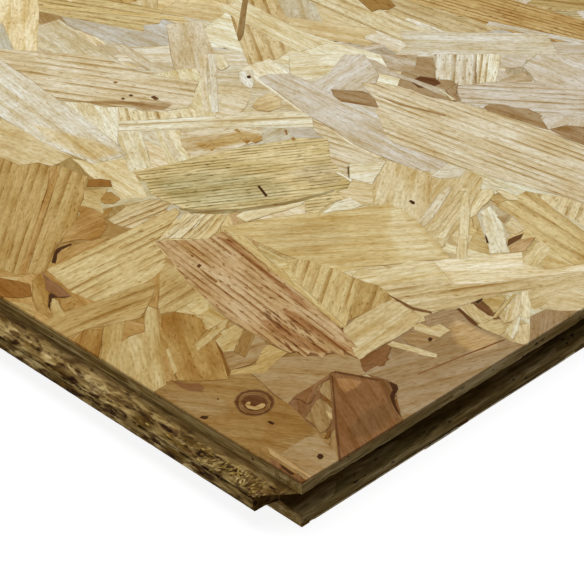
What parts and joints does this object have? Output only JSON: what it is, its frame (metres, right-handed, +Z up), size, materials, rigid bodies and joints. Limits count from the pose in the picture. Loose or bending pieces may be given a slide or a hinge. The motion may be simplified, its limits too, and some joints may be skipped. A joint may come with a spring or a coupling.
{
  "type": "tongue and groove osb panel",
  "caption": "Flat oriented strand board panel with tapered tongues and matching grooves milled along its edges, for decking a floor or roof over joists.",
  "frame": {"origin": "middle of the underside of the laid area, with the tongues left out", "axes": "+X along the long edge towards the grooved end, +Y across the panel towards the grooved long edge, +Z up through the laid face"},
  "size_m": [2.4103, 0.6103, 0.018],
  "materials": {
    "osb": "pressed softwood strands, unsanded, milled edges"
  },
  "bodies": {
    "root": {"panel": "osb"}
  },
  "joints": []
}
